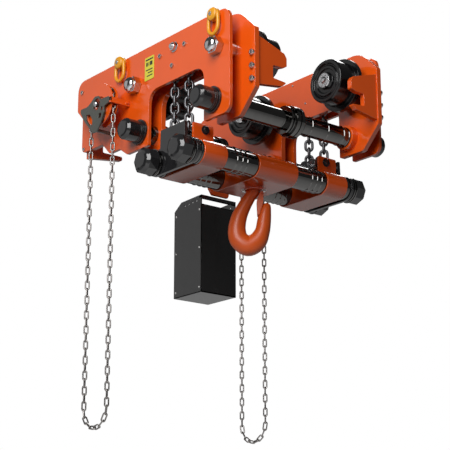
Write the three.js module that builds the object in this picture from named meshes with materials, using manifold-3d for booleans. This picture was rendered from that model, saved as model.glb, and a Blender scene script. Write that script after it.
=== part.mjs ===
// Low-headroom chain hoist built into a geared push trolley, worked by two endless hand chains.
// Millimetres. X runs across the beam, Y along the beam, +Z up.
// The origin is on the beam: the level where the four wheels roll, half way between the wheels.
import * as THREE from 'three';
import { mergeVertices } from 'three/addons/utils/BufferGeometryUtils.js';
import Module from 'manifold-3d';

const wasm = await Module();
wasm.setup();

// ---------- driving dimensions ----------

const gap = 0.3; // clearance left between pieces that touch
const sides = { large: 20, middle: 16, small: 12, chain: 8 }; // flat sides of a turned piece, by its size

const frame = {
  top: 195,
  bottom: -152,
  outerFace: 327, // |X| of the outboard face of an outer plate
  outerThick: 12,
  innerFace: 256, // |X| of the face of an inner plate that looks at the beam
  innerThick: 18,
  archHalf: 147,
  archTop: 35,
  archRound: 50,
};
const outerInside = frame.outerFace - frame.outerThick;
const innerOutside = frame.innerFace + frame.innerThick;
const chainX = (outerInside + innerOutside) / 2; // |X| of the load chain, half way between the plates

const wheel = { y: 218, tread: 75, flange: 90, face: 128, treadEnd: 194, flangeEnd: 212, hub: 36 };
const axle = { wheelR: 18, plateR: 22, spacerR: 30, nutFlats: 52, nutLength: 26, domeR: 25, tip: 372 };

const shaft = { y: 194, z: -95, r: 32, endR: 22, boss: 42, bossLength: 24 };
const shaftNut = { r: 36.5, washerR: 43, washer: 8, tip: 400, bite: 40 };
const collar = { from: -42, to: 24, r: 52, neck: 47 };

const gear = { module: 5, wheelTeeth: 36, pinionTeeth: 16, from: 214, to: 228 };
const trolleyWheel = { z: 28 };
const gearDistance = (gear.module * (gear.wheelTeeth + gear.pinionTeeth)) / 2;
trolleyWheel.y = wheel.y + Math.sqrt(gearDistance ** 2 - (wheel.tread - trolleyWheel.z) ** 2);

const handWheel = {
  x: 380,
  pitch: 65,
  groove: 56,
  flange: 75,
  half: 13,
  grooveHalf: 10,
  shaftR: 13,
  tip: 416,
};
const hoistWheel = { y: 456, z: 70 };
const handChain = { d: 17, trolleyBottom: -1057, hoistBottom: -1040 };
const guide = { from: 400, to: 406 };

const liftCase = {
  fromX: innerOutside + 2,
  toX: outerInside - 9,
  fromY: 150,
  toY: 515,
  fromZ: 112,
  toZ: 185,
};

const loadChain = { wide: 34, wire: 10, top: 135 };
const topSheave = { y: 8, z: 148, pitch: 37.5, core: 19, flange: 43, flangeThick: 2, pinR: 9, nutFlats: 30 };
const loadWheel = { y: topSheave.y + 2 * topSheave.pitch };
const fallY = [topSheave.y - topSheave.pitch, topSheave.y + topSheave.pitch];

const block = {
  barY: 88,
  barZ: -232,
  barR: 38,
  sleeveR: 43,
  capR: 45,
  capFrom: 341,
  end: 401,
  centreHalf: 83,
  endFrom: 215,
  endTo: 307,
  plateFrom: 326,
  plateTo: 338,
  cheekInside: 66,
  cheekOutside: 72,
  cheekTop: -127,
  dip: 11, // depth of the chain channel across the top of each housing
};
const blockSheave = { z: -146, pitch: 32.5, core: 14, flange: 30, pinR: 8, nutR: 13, nutLength: 9 };
blockSheave.x = chainX - blockSheave.pitch;
const blockBottom = block.barZ - block.sleeveR;

const hook = { shankR: 21, shankTop: -205, turn: -0.6876 }; // turn: the hook's plane, from +X towards -Y
const ring = { y: [-208, 303], z: 183, r: 22, wire: 6, drop: 66, width: 46 };
const bracket = { near: -328, far: 606, thick: 18 };
const container = { x: 196, y: 532, side: 166, bottom: -501, top: -165, ear: -130, wall: 4 };

// ---------- solids ----------

// A solid for joining and cutting, made from a closed three.js geometry.
function solid(geometry) {
  const bare = geometry.clone();
  bare.deleteAttribute('normal');
  bare.deleteAttribute('uv');
  const merged = mergeVertices(bare, 1e-4);
  const mesh = new wasm.Mesh({
    numProp: 3,
    vertProperties: new Float32Array(merged.attributes.position.array),
    triVerts: new Uint32Array(merged.index.array),
  });
  return new wasm.Manifold(mesh);
}

// The three.js geometry of a joined or cut solid.
function geometryOf(body) {
  const mesh = body.getMesh();
  const geometry = new THREE.BufferGeometry();
  geometry.setAttribute('position', new THREE.BufferAttribute(new Float32Array(mesh.vertProperties), 3));
  geometry.setIndex(new THREE.BufferAttribute(new Uint32Array(mesh.triVerts), 1));
  geometry.computeVertexNormals();
  return geometry;
}

function join(...geometries) {
  return geometryOf(geometries.map(solid).reduce((whole, next) => whole.add(next)));
}

function cut(geometry, ...tools) {
  return geometryOf(tools.map(solid).reduce((rest, tool) => rest.subtract(tool), solid(geometry)));
}

// ---------- outlines ----------

// A closed outline through [u, v] corners; a third number rounds that corner to a radius.
function outline(corners) {
  const shape = new THREE.Shape();
  corners.forEach(([u, v, radius], i) => {
    const corner = new THREE.Vector2(u, v);
    if (!radius) {
      if (i === 0) shape.moveTo(u, v);
      else shape.lineTo(u, v);
      return;
    }
    const before = new THREE.Vector2(...corners.at(i - 1).slice(0, 2)).sub(corner).normalize();
    const after = new THREE.Vector2(...corners[(i + 1) % corners.length].slice(0, 2)).sub(corner).normalize();
    const half = Math.acos(THREE.MathUtils.clamp(before.dot(after), -1, 1)) / 2;
    const run = radius / Math.tan(half);
    const start = corner.clone().addScaledVector(before, run);
    const end = corner.clone().addScaledVector(after, run);
    if (i === 0) shape.moveTo(start.x, start.y);
    else shape.lineTo(start.x, start.y);
    shape.quadraticCurveTo(u, v, end.x, end.y);
  });
  shape.closePath();
  return shape;
}

// The radius of a bore with flat sides that stand clear of a shaft of radius r.
function boreFor(r, count) {
  return (r + gap) / Math.cos(Math.PI / count);
}

// A round hole that stands clear of a shaft of radius r. One arc step makes two of its sides.
function hole(u, v, r, count = sides.middle) {
  const path = new THREE.Path();
  path.absarc(u, v, boreFor(r, count), 0, 2 * Math.PI, true);
  path.steps = count / 2;
  return path;
}

// The points of a path, running clockwise or not as asked, with the given number of steps on each curve.
function wound(path, steps, clockwise) {
  const points = path.getPoints(steps);
  return THREE.ShapeUtils.isClockWise(points) === clockwise ? points : points.reverse();
}

// An outline with its holes, all of them as plain points.
function sampled(shape, holes, steps) {
  const plain = new THREE.Shape(wound(shape, steps, false));
  plain.holes = holes.map((path) => new THREE.Path(wound(path, path.steps ?? steps, true)));
  return plain;
}

function extrude(shape, depth, holes = [], steps = 4) {
  return new THREE.ExtrudeGeometry(sampled(shape, holes, steps), { depth, bevelEnabled: false, steps: 1 });
}

// An outline drawn in Y and Z, extruded from one X to another.
function plateAcross(shape, fromX, toX, holes = [], steps = 4) {
  const basis = new THREE.Matrix4().makeBasis(
    new THREE.Vector3(0, 1, 0), new THREE.Vector3(0, 0, 1), new THREE.Vector3(1, 0, 0));
  return extrude(shape, toX - fromX, holes, steps).applyMatrix4(basis).translate(fromX, 0, 0);
}

// An outline drawn in X and Z, extruded from one Y to another.
function plateAlong(shape, fromY, toY, holes = [], steps = 4) {
  const basis = new THREE.Matrix4().makeBasis(
    new THREE.Vector3(1, 0, 0), new THREE.Vector3(0, 0, 1), new THREE.Vector3(0, -1, 0));
  return extrude(shape, toY - fromY, holes, steps).applyMatrix4(basis).translate(0, toY, 0);
}

function box(fromX, toX, fromY, toY, fromZ, toZ) {
  const geometry = new THREE.BoxGeometry(toX - fromX, toY - fromY, toZ - fromZ);
  return geometry.translate((fromX + toX) / 2, (fromY + toY) / 2, (fromZ + toZ) / 2);
}

// A turned solid. The profile is a list of [position along the axis, radius].
function turned(profile, axis, count = sides.large) {
  const points = profile.map(([along, radius]) => new THREE.Vector2(radius, along));
  if (profile[0][1] > 0) points.push(points[0].clone());
  const geometry = new THREE.LatheGeometry(points, count);
  if (axis === 'x') geometry.rotateZ(-Math.PI / 2);
  if (axis === 'z') geometry.rotateX(Math.PI / 2);
  const body = solid(geometry);
  if (body.volume() < 0) throw new Error('profile runs the wrong way');
  return geometryOf(body);
}

function rod(axis, from, to, r, count = sides.middle) {
  return turned([[from, 0], [from, r], [to, r], [to, 0]], axis, count);
}

// A hexagonal nut on the X axis, with the given distance across its flats.
function hexagon(fromX, toX, acrossFlats) {
  return rod('x', fromX, toX, acrossFlats / Math.sqrt(3), 6);
}

// A closed solid of rings of points, capped at both ends.
function loft(rings) {
  const count = rings[0].length;
  const positions = rings.flat().flatMap((p) => [p.x, p.y, p.z]);
  const index = [];
  for (let k = 0; k < rings.length - 1; k += 1) {
    for (let i = 0; i < count; i += 1) {
      const a = k * count + i;
      const b = k * count + ((i + 1) % count);
      index.push(a, b, b + count, a, b + count, a + count);
    }
  }
  const last = (rings.length - 1) * count;
  for (let i = 1; i < count - 1; i += 1) {
    index.push(0, i + 1, i);
    index.push(last, last + i, last + i + 1);
  }
  const geometry = new THREE.BufferGeometry();
  geometry.setAttribute('position', new THREE.Float32BufferAttribute(positions, 3));
  geometry.setIndex(index);
  geometry.computeVertexNormals();
  return geometry;
}

// The copy on the other side of the beam: X turned over, with the faces still pointing out.
function mirrored(geometry) {
  const other = geometry.clone().applyMatrix4(new THREE.Matrix4().makeScale(-1, 1, 1));
  const order = other.index ? other.index.array : [...Array(other.attributes.position.count).keys()];
  const turnedOver = [];
  for (let i = 0; i < order.length; i += 3) turnedOver.push(order[i], order[i + 2], order[i + 1]);
  other.setIndex(turnedOver);
  return other;
}

// ---------- materials ----------

function finish(color, roughness, metalness) {
  return new THREE.MeshStandardMaterial({ color, roughness, metalness });
}

const finishes = {
  orange: () => finish(0xd2561c, 0.32, 0.0),
  black: () => finish(0x141516, 0.16, 0.25),
  chrome: () => finish(0x8d9094, 0.18, 1.0),
  yellow: () => finish(0xe9a01c, 0.35, 0.0),
  label: () => finish(0xd9d325, 0.5, 0.0),
  steel: () => finish(0x9a9a98, 0.35, 0.9),
  grey: () => finish(0x5b605c, 0.45, 0.4),
  sheet: () => finish(0x3a3b3c, 0.28, 0.2),
};

const hoist = new THREE.Group();

function add(name, geometry, finishName) {
  const mesh = new THREE.Mesh(geometry, finishes[finishName]());
  mesh.name = name;
  hoist.add(mesh);
}

// Adds a piece drawn on the +X side to both sides of the beam.
function addBothSides(name, geometry, finishName) {
  add(`right_${name}`, geometry, finishName);
  add(`left_${name}`, mirrored(geometry), finishName);
}

// ---------- side frames ----------

const archCorners = [
  [frame.archHalf, frame.archTop, frame.archRound],
  [-frame.archHalf, frame.archTop, frame.archRound],
];

function outerPlate(extraHoles) {
  const shape = outline([
    [-275, frame.top, 45],
    [-275, frame.bottom, 32],
    [-frame.archHalf, frame.bottom, 8],
    archCorners[1],
    archCorners[0],
    [frame.archHalf, frame.bottom, 8],
    [268, frame.bottom, 14],
    [312, -122, 10],
    [372, -122, 16],
    [580, 86, 16],
    [580, frame.top, 45],
  ]);
  const holes = [
    hole(-wheel.y, wheel.tread, axle.plateR),
    hole(wheel.y, wheel.tread, axle.plateR),
    hole(-shaft.y, shaft.z, shaft.endR),
    hole(shaft.y, shaft.z, shaft.endR),
    ...extraHoles,
  ];
  return plateAcross(shape, outerInside, frame.outerFace, holes);
}

function innerPlate(extraHoles) {
  const shape = outline([
    [-256, frame.top, 100],
    [-332, 119, 14],
    [-332, -77, 14],
    [-257, frame.bottom, 18],
    [-frame.archHalf, frame.bottom, 8],
    archCorners[1],
    archCorners[0],
    [frame.archHalf, frame.bottom, 8],
    [256, frame.bottom, 14],
    [363, -45, 14],
    [628, -45, 24],
    [628, frame.top, 45],
  ]);
  const holes = [
    hole(-wheel.y, wheel.tread, axle.plateR),
    hole(wheel.y, wheel.tread, axle.plateR),
    ...extraHoles,
  ];
  const plate = plateAcross(shape, frame.innerFace, innerOutside, holes);
  const bosses = [-shaft.y, shaft.y].map((y) =>
    rod('x', frame.innerFace - shaft.bossLength, frame.innerFace + 2, shaft.boss).translate(0, y, shaft.z));
  const bores = [-shaft.y, shaft.y].map((y) =>
    rod('x', frame.innerFace - 2 * shaft.bossLength, innerOutside + 5, boreFor(shaft.r, sides.middle))
      .translate(0, y, shaft.z));
  return cut(join(plate, ...bosses), ...bores);
}

// Cross lug welded under the far end of the right inner plate, which carries the chain container.
function containerLug() {
  const low = container.ear + 9;
  const under = -52;
  const shape = outline([
    [236, under],
    [236, low + 22],
    [252, low],
    [325, low],
    [330, low + 10],
    [330, under],
    [outerInside - 1, under],
    [outerInside - 1, 15],
    [innerOutside - 2, 15],
    [innerOutside - 2, under + 15],
    [frame.innerFace + 4, under + 15],
    [frame.innerFace + 4, under],
  ]);
  return plateAlong(shape, container.y + 2, container.y + 14);
}

function sideFrames() {
  const sheaveBore = hole(topSheave.y, topSheave.z, topSheave.pinR, sides.small);
  const loadBore = hole(loadWheel.y, topSheave.z, topSheave.pinR, sides.small);
  const drive = hole(trolleyWheel.y, trolleyWheel.z, handWheel.shaftR);
  const hoistDrive = hole(hoistWheel.y, hoistWheel.z, handWheel.shaftR);
  add('left_outer_plate', mirrored(outerPlate([sheaveBore, drive])), 'orange');
  add('left_inner_plate', mirrored(innerPlate([sheaveBore, drive])), 'orange');
  add('right_outer_plate', outerPlate([loadBore, hoistDrive]), 'orange');
  add('right_inner_plate', join(innerPlate([loadBore]), containerLug()), 'orange');
}

// Jaw that reaches over and under the beam flange, so that the trolley can't drop off.
function antiDropBrackets() {
  const face = frame.innerFace - gap;
  // The lower lip is pointed at the front, and longer with a round end at the rear.
  const jaw = (lip) => outline([
    [face, 96],
    [150, 62, 8],
    [140, 48, 6],
    [140, 20, 6],
    [160, 12],
    [197, 12, 6],
    [197, -30, 6],
    ...lip,
    [face, -64],
  ]);
  const frontJaw = jaw([[141, -34, 4], [160, -50, 8]]);
  const rearJaw = jaw([[113, -29, 7], [113, -45, 7], [175, -53, 8]]);
  addBothSides('front_bracket', plateAlong(frontJaw, bracket.near, bracket.near + bracket.thick), 'orange');
  addBothSides('rear_bracket', plateAlong(rearJaw, bracket.far, bracket.far + bracket.thick), 'orange');
}

// ---------- wheels and shafts ----------

function wheelProfile() {
  const bore = axle.wheelR + gap;
  return [
    [wheel.face - 4, 0],
    [wheel.face - 4, 26],
    [wheel.face + 8, 30],
    [wheel.face + 8, 56],
    [wheel.face, 60],
    [wheel.face, wheel.tread - 3],
    [wheel.face + 4, wheel.tread],
    [wheel.treadEnd, wheel.tread],
    [wheel.treadEnd, wheel.flange],
    [wheel.flangeEnd, wheel.flange],
    [wheel.flangeEnd, wheel.hub],
    [frame.innerFace - 4, wheel.hub],
    [frame.innerFace - 4, bore],
    [wheel.face + 20, bore],
    [wheel.face + 20, 0],
  ];
}

function flangedWheel() {
  return turned(wheelProfile(), 'x');
}

// A spur gear outline with straight-sided teeth, thin enough to run free in mesh.
function gearOutline(teeth, phase) {
  const pitch = (gear.module * teeth) / 2;
  const root = pitch - gear.module;
  const tip = pitch + 0.75 * gear.module;
  const step = (2 * Math.PI) / teeth;
  const shape = new THREE.Shape();
  for (let i = 0; i < teeth; i += 1) {
    [[-0.3, root], [-0.11, tip], [0.11, tip], [0.3, root]].forEach(([part, r], k) => {
      const angle = (i + part) * step + phase;
      const point = [r * Math.cos(angle), r * Math.sin(angle)];
      if (i === 0 && k === 0) shape.moveTo(...point);
      else shape.lineTo(...point);
    });
  }
  shape.closePath();
  return shape;
}

// The line from the rear wheel's axle to the pinion, as an angle in Y and Z.
const meshAngle = Math.atan2(trolleyWheel.z - wheel.tread, trolleyWheel.y - wheel.y);

function gearedWheel() {
  const ringGear = plateAcross(gearOutline(gear.wheelTeeth, meshAngle), gear.from, gear.to - gap);
  return join(flangedWheel(), cut(ringGear, rod('x', gear.from - 5, gear.to + 5, wheel.hub - 4)));
}

function wheels() {
  const spots = [['front', -wheel.y], ['rear', wheel.y]];
  for (const [name, y] of spots) {
    const plain = flangedWheel().translate(0, y, wheel.tread);
    const driven = mirrored(gearedWheel().translate(0, y, wheel.tread));
    add(`right_${name}_wheel`, plain, 'black');
    add(`left_${name}_wheel`, name === 'rear' ? driven : mirrored(plain), 'black');
    addBothSides(`${name}_axle`, wheelAxle().translate(0, y, wheel.tread), 'chrome');
  }
}

function wheelAxle() {
  const nutStart = frame.outerFace + gap;
  const nutEnd = nutStart + axle.nutLength;
  const pin = turned([
    [wheel.face + 20 + gap, 0],
    [wheel.face + 20 + gap, axle.wheelR],
    [frame.innerFace - 3.5, axle.wheelR],
    [frame.innerFace - 3.5, axle.plateR],
    [innerOutside + gap, axle.plateR],
    [innerOutside + gap, axle.spacerR],
    [outerInside - gap, axle.spacerR],
    [outerInside - gap, axle.plateR],
    [nutStart + 1, axle.plateR],
    [nutStart + 1, 0],
  ], 'x', sides.small);
  const dome = turned([
    [nutEnd - 1, 0],
    [nutEnd - 1, axle.domeR],
    [axle.tip - 5, axle.domeR - 1],
    [axle.tip, axle.domeR - 7],
    [axle.tip, 0],
  ], 'x', sides.small);
  return join(pin, hexagon(nutStart, nutEnd, axle.nutFlats), dome);
}

function crossShaft(y) {
  const end = frame.outerFace + shaftNut.bite;
  const step = innerOutside + 20;
  return turned([
    [-end, 0],
    [-end, shaft.endR],
    [-step, shaft.endR],
    [-step, shaft.r],
    [collar.from, shaft.r],
    [collar.from, collar.neck],
    [collar.from + 7, collar.neck],
    [collar.from + 7, collar.neck - 6],
    [collar.from + 14, collar.neck - 6],
    [collar.from + 14, collar.neck],
    [collar.from + 22, collar.neck],
    [collar.from + 22, collar.r],
    [collar.to - 12, collar.r],
    [collar.to - 2, shaft.r + 10],
    [collar.to, shaft.r],
    [step, shaft.r],
    [step, shaft.endR],
    [end, shaft.endR],
    [end, 0],
  ], 'x', sides.middle).translate(0, y, shaft.z);
}

function shaftEndNut(y) {
  const start = frame.outerFace + gap;
  const bore = shaft.endR + 2 * gap;
  const floor = frame.outerFace + shaftNut.bite + 2;
  return turned([
    [start, bore],
    [start, shaftNut.washerR],
    [start + shaftNut.washer, shaftNut.washerR],
    [start + shaftNut.washer, shaftNut.r],
    [shaftNut.tip - 10, shaftNut.r],
    [shaftNut.tip - 2, shaftNut.r - 7],
    [shaftNut.tip, 22],
    [shaftNut.tip, 0],
    [floor, 0],
    [floor, bore],
  ], 'x', sides.middle).translate(0, y, shaft.z);
}

function crossShafts() {
  for (const [name, y] of [['front', -shaft.y], ['rear', shaft.y]]) {
    add(`${name}_cross_shaft`, crossShaft(y), 'black');
    addBothSides(`${name}_shaft_nut`, shaftEndNut(y), 'black');
  }
}

// ---------- hand wheels, guides and hand chains ----------

// Grooved wheel that the hand chain turns, drawn on the X axis about the origin.
function pocketWheel() {
  const { x, groove, flange: rim, half, grooveHalf, shaftR } = handWheel;
  const bore = boreFor(shaftR, sides.large);
  return turned([
    [x - half - 6, bore],
    [x - half - 6, 26],
    [x - half, 30],
    [x - half, rim],
    [x - grooveHalf, rim],
    [x - grooveHalf, groove],
    [x + grooveHalf, groove],
    [x + grooveHalf, rim],
    [x + half, rim],
    [x + half, bore],
  ], 'x');
}

function driveShaft(innerEnd) {
  return turned([
    [innerEnd, 0],
    [innerEnd, handWheel.shaftR],
    [handWheel.tip - 3, handWheel.shaftR],
    [handWheel.tip, handWheel.shaftR - 4],
    [handWheel.tip, 0],
  ], 'x', sides.middle);
}

function pinionShaft() {
  const phase = meshAngle + Math.PI + Math.PI / gear.pinionTeeth;
  const pinion = plateAcross(gearOutline(gear.pinionTeeth, phase), gear.from, gear.to);
  const sleeve = rod('x', gear.to - 1, frame.innerFace - 4, 20);
  return join(pinion, sleeve, driveShaft(gear.from + 1));
}

// Open plate over the hand wheel that keeps the chain in its groove, with two arms back to the frame.
function chainGuide() {
  const face = outline([
    [-72, -13, 2],
    [-45, -19, 6],
    [-46, -40, 10],
    [-29, -71, 20],
    [-5, -98, 6],
    [20, -98, 6],
    [40, -76],
    [80, -34, 12],
    [98, -4, 5],
    [96, 8, 5],
    [58, 6, 10],
    [37, 15, 10],
    [12, 31, 16],
    [-12, 27, 12],
    [-23, 12, 8],
    [-72, 9, 2],
  ]);
  const openings = [
    outline([[63, -20, 6], [40, -26, 6], [24, -48, 8], [24, -68, 6], [38, -68, 6], [60, -40, 8]]),
    outline([[-26, -15, 2], [-38, -20, 2], [-36, -30, 2], [-24, -30, 2]]),
    outline([[-14, -37, 3], [-30, -38, 3], [-27, -54, 3], [-12, -54, 3]]),
  ];
  const plate = plateAcross(face, guide.from, guide.to, [hole(0, 0, handWheel.shaftR), ...openings]);
  const flatArm = box(frame.outerFace + gap, guide.to, -84, -76, -10, 4);
  const lug = box(guide.from, guide.to, -84, -70, -10, 4);
  const roundArm = rod('x', frame.outerFace + gap, guide.to, 6, sides.small).translate(0, 10, -88);
  return join(plate, lug, flatArm, roundArm);
}

// The free part of an endless hand chain: down from the wheel, round the bottom and up again.
function hangingChain(side, drive, bottom) {
  const x = side * handWheel.x;
  const r = handWheel.pitch;
  const turnZ = bottom + r;
  const at = (y, z) => new THREE.Vector3(x, y, z);
  const bendPoints = [...Array(9).keys()].map((k) => {
    const angle = (k / 8) * Math.PI;
    return at(drive.y + r * Math.cos(angle), turnZ - r * Math.sin(angle));
  });
  const stretches = [
    [new THREE.LineCurve3(at(drive.y + r, drive.z), at(drive.y + r, turnZ)), 6],
    [new THREE.CatmullRomCurve3(bendPoints), 10],
    [new THREE.LineCurve3(at(drive.y - r, turnZ), at(drive.y - r, drive.z)), 6],
  ];
  const across = new THREE.Vector3(1, 0, 0);
  const ringAt = (point, tangent) => {
    const other = new THREE.Vector3().crossVectors(tangent, across).normalize();
    return [...Array(sides.chain).keys()].map((i) => {
      const angle = (2 * Math.PI * i) / sides.chain;
      return point.clone()
        .addScaledVector(across, (handChain.d / 2) * Math.cos(angle))
        .addScaledVector(other, (handChain.d / 2) * Math.sin(angle));
    });
  };
  const rings = stretches.flatMap(([curve, steps], stretch) =>
    [...Array(steps + 1).keys()]
      .slice(stretch === 0 ? 0 : 1)
      .map((k) => ringAt(curve.getPointAt(k / steps), curve.getTangentAt(k / steps))));
  return loft(rings);
}

function drives() {
  const trolley = (geometry) => mirrored(geometry).translate(0, trolleyWheel.y, trolleyWheel.z);
  const lifting = (geometry) => geometry.translate(0, hoistWheel.y, hoistWheel.z);
  add('trolley_hand_wheel', trolley(pocketWheel()), 'orange');
  add('trolley_drive_shaft', trolley(pinionShaft()), 'steel');
  add('trolley_chain_guide', trolley(chainGuide()), 'grey');
  add('trolley_hand_chain', hangingChain(-1, trolleyWheel, handChain.trolleyBottom), 'steel');
  add('hoist_hand_wheel', lifting(pocketWheel()), 'orange');
  add('hoist_drive_shaft', lifting(driveShaft(liftCase.toX + gap)), 'steel');
  add('hoist_chain_guide', lifting(chainGuide()), 'grey');
  add('hoist_hand_chain', hangingChain(1, hoistWheel, handChain.hoistBottom), 'steel');
}

// ---------- load chain ----------

// Sheave between two plates, drawn on the X axis: a core for the chain and a thin flange on each side.
function sheave(core, rim, half, bore) {
  return turned([
    [-half, boreFor(bore, sides.middle)],
    [-half, rim],
    [-half + topSheave.flangeThick, rim],
    [-half + topSheave.flangeThick, core],
    [half - topSheave.flangeThick, core],
    [half - topSheave.flangeThick, rim],
    [half, rim],
    [half, boreFor(bore, sides.middle)],
  ], 'x', sides.middle);
}

function upperSheaves() {
  const half = (outerInside - innerOutside) / 2 - 1;
  const wheelSolid = () => sheave(topSheave.core, topSheave.flange, half, topSheave.pinR);
  const pin = () => join(
    rod('x', frame.innerFace - 6, frame.outerFace + 8, topSheave.pinR, sides.small),
    hexagon(frame.outerFace + gap, frame.outerFace + 14, topSheave.nutFlats),
    hexagon(frame.innerFace - 12, frame.innerFace - gap, topSheave.nutFlats),
  );
  add('left_top_sheave', wheelSolid().translate(-chainX, topSheave.y, topSheave.z), 'steel');
  add('left_top_sheave_pin', mirrored(pin()).translate(0, topSheave.y, topSheave.z), 'chrome');
  add('load_chain_wheel', wheelSolid().translate(chainX, loadWheel.y, topSheave.z), 'steel');
  add('load_chain_wheel_pin', pin().translate(0, loadWheel.y, topSheave.z), 'chrome');
}

// Closed case between the right plates that holds the reduction gears and the load brake.
function liftGearCase() {
  const { fromX, toX, fromY, toY, fromZ, toZ } = liftCase;
  const shape = outline([
    [fromY, fromZ, 12],
    [hoistWheel.y - 60, fromZ, 8],
    [hoistWheel.y - 50, 20, 16],
    [toY, 20, 16],
    [toY, toZ, 12],
    [fromY, toZ, 12],
  ]);
  add('lift_gear_case', cut(
    plateAcross(shape, fromX, toX),
    rod('x', toX - 12, toX + 5, handWheel.shaftR + 4).translate(0, hoistWheel.y, hoistWheel.z),
  ), 'grey');
}

// One straight fall of load chain: two crossed bands, as wide as the links.
function chainFalls() {
  const wide = loadChain.wide / 2;
  const wire = loadChain.wire / 2;
  const cross = outline([
    [wide, wire], [wire, wire], [wire, wide], [-wire, wide], [-wire, wire], [-wide, wire],
    [-wide, -wire], [-wire, -wire], [-wire, -wide], [wire, -wide], [wire, -wire], [wide, -wire],
  ]);
  const bottom = blockSheave.z;
  for (const [side, sign] of [['left', -1], ['right', 1]]) {
    fallY.forEach((y, i) => {
      const fall = extrude(cross, loadChain.top - bottom).translate(sign * chainX, y, bottom);
      add(`${side}_load_chain_${i + 1}`, fall, 'steel');
    });
  }
}

// ---------- load block ----------

// Outline round both bars. Between them its upper side is a list of [y, z] corners, from +Y to -Y.
function roundBars(between) {
  const { barY, barZ, sleeveR } = block;
  const shape = new THREE.Shape();
  shape.absarc(barY, barZ, sleeveR, -Math.PI / 2, Math.PI / 2, false);
  between.forEach(([y, z]) => shape.lineTo(y, z));
  shape.absarc(-barY, barZ, sleeveR, Math.PI / 2, 1.5 * Math.PI, false);
  shape.closePath();
  return shape;
}

const sleeveTop = block.barZ + block.sleeveR;

// Housings have a shallow channel for the chain between the bars.
function housingOutline() {
  const { cheekInside: side, dip } = block;
  const floor = sleeveTop - dip;
  return roundBars([[side, sleeveTop], [side - 4, floor], [4 - side, floor], [-side, sleeveTop]]);
}

// End plates stand up between the bars as high as the sheave cheeks.
function endPlateOutline() {
  const { cheekInside: side, cheekTop } = block;
  return roundBars([[side, sleeveTop], [side - 3, cheekTop], [3 - side, cheekTop], [-side, sleeveTop]]);
}

const barSteps = 6; // arc steps half way round a bar
const barHoles = () => [-block.barY, block.barY].map((y) => hole(y, block.barZ, block.barR, sides.large));

function loadBlock() {
  const middle = plateAcross(housingOutline(), -block.centreHalf, block.centreHalf, barHoles(), barSteps);
  const hookBore = rod('z', blockBottom - 5, hook.shankTop + gap, boreFor(hook.shankR, sides.middle));
  add('block_centre_housing', cut(middle, hookBore), 'orange');

  const cheekShape = outline([
    [228, sleeveTop - 3],
    [310, sleeveTop - 3],
    [310, block.cheekTop, 6],
    [228, block.cheekTop, 6],
  ]);
  const pinHole = () => hole(blockSheave.x, blockSheave.z, blockSheave.pinR, sides.small);
  const cheek = (fromY, toY) => plateAlong(cheekShape, fromY, toY, [pinHole()]);
  const base = plateAcross(housingOutline(), block.endFrom, block.endTo, barHoles(), barSteps);
  const housing = join(
    base,
    cheek(block.cheekInside, block.cheekOutside),
    cheek(-block.cheekOutside, -block.cheekInside),
  );
  addBothSides('block_housing', housing, 'orange');
  const endPlate = plateAcross(endPlateOutline(), block.plateFrom, block.plateTo, barHoles(), barSteps);
  addBothSides('block_end_plate', endPlate, 'black');

  const bar = () => turned([
    [-block.end, 0],
    [-block.end, 26],
    [-block.end + 3, 36],
    [-block.end + 14, block.capR],
    [-block.capFrom, block.capR],
    [-block.capFrom, block.barR],
    [block.capFrom, block.barR],
    [block.capFrom, block.capR],
    [block.end - 14, block.capR],
    [block.end - 3, 36],
    [block.end, 26],
    [block.end, 0],
  ], 'x');
  add('block_front_bar', bar().translate(0, -block.barY, block.barZ), 'black');
  add('block_rear_bar', bar().translate(0, block.barY, block.barZ), 'black');
}

function blockSheaves() {
  const half = loadChain.wide / 2 + 3;
  for (const [side, sign] of [['left', -1], ['right', 1]]) {
    fallY.forEach((y, i) => {
      const wheelSolid = sheave(blockSheave.core, blockSheave.flange, half, blockSheave.pinR)
        .rotateZ(Math.PI / 2)
        .translate(sign * blockSheave.x, y, blockSheave.z);
      add(`${side}_block_sheave_${i + 1}`, wheelSolid, 'steel');
    });
    const { nutR, nutLength, pinR } = blockSheave;
    const outside = block.cheekOutside + gap;
    const pin = turned([
      [-outside - nutLength, 0],
      [-outside - nutLength, nutR],
      [-outside, nutR],
      [-outside, pinR],
      [outside, pinR],
      [outside, nutR],
      [outside + nutLength, nutR],
      [outside + nutLength, 0],
    ], 'y', sides.small).translate(sign * blockSheave.x, 0, blockSheave.z);
    add(`${side}_block_sheave_pin`, pin, 'black');
  }
}

// ---------- hook ----------

// Middle line of the hook: [across, height, half width in its plane, half depth].
const hookLine = [
  [0, hook.shankTop, hook.shankR, hook.shankR],
  [0, blockBottom - 3, hook.shankR, hook.shankR],
  [-13, -300, 20, 22],
  [-32, -334, 22, 23],
  [-49, -372, 26, 25],
  [-56, -412, 29, 27],
  [-49, -446, 32, 29],
  [-20, -468, 34, 30],
  [10, -452, 31, 28],
  [25, -420, 23, 25],
  [32, -386, 20, 21],
  [35, -356, 15, 17],
  [42, -336, 12, 13],
  [45, -326, 9, 11],
];

function hookBody() {
  const count = sides.small;
  const middle = hookLine.map(([across, height]) => new THREE.Vector3(across, 0, height));
  const rings = hookLine.map(([, , width, depth], k) => {
    const before = middle[Math.max(k - 1, 0)];
    const after = middle[Math.min(k + 1, middle.length - 1)];
    const along = after.clone().sub(before).normalize();
    if (k < 2) along.set(0, 0, -1);
    const sideways = new THREE.Vector3().crossVectors(new THREE.Vector3(0, 1, 0), along).normalize();
    return [...Array(count).keys()].map((i) => {
      const angle = (2 * Math.PI * i) / count;
      return middle[k].clone()
        .addScaledVector(sideways, width * Math.cos(angle))
        .add(new THREE.Vector3(0, depth * Math.sin(angle), 0));
    });
  });
  return loft(rings);
}

function latch() {
  const shape = outline([[21, -286], [32, -286, 3], [29, -325], [18, -349], [10, -349, 2], [14, -320]]);
  return plateAlong(shape, -15, 15);
}

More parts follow.
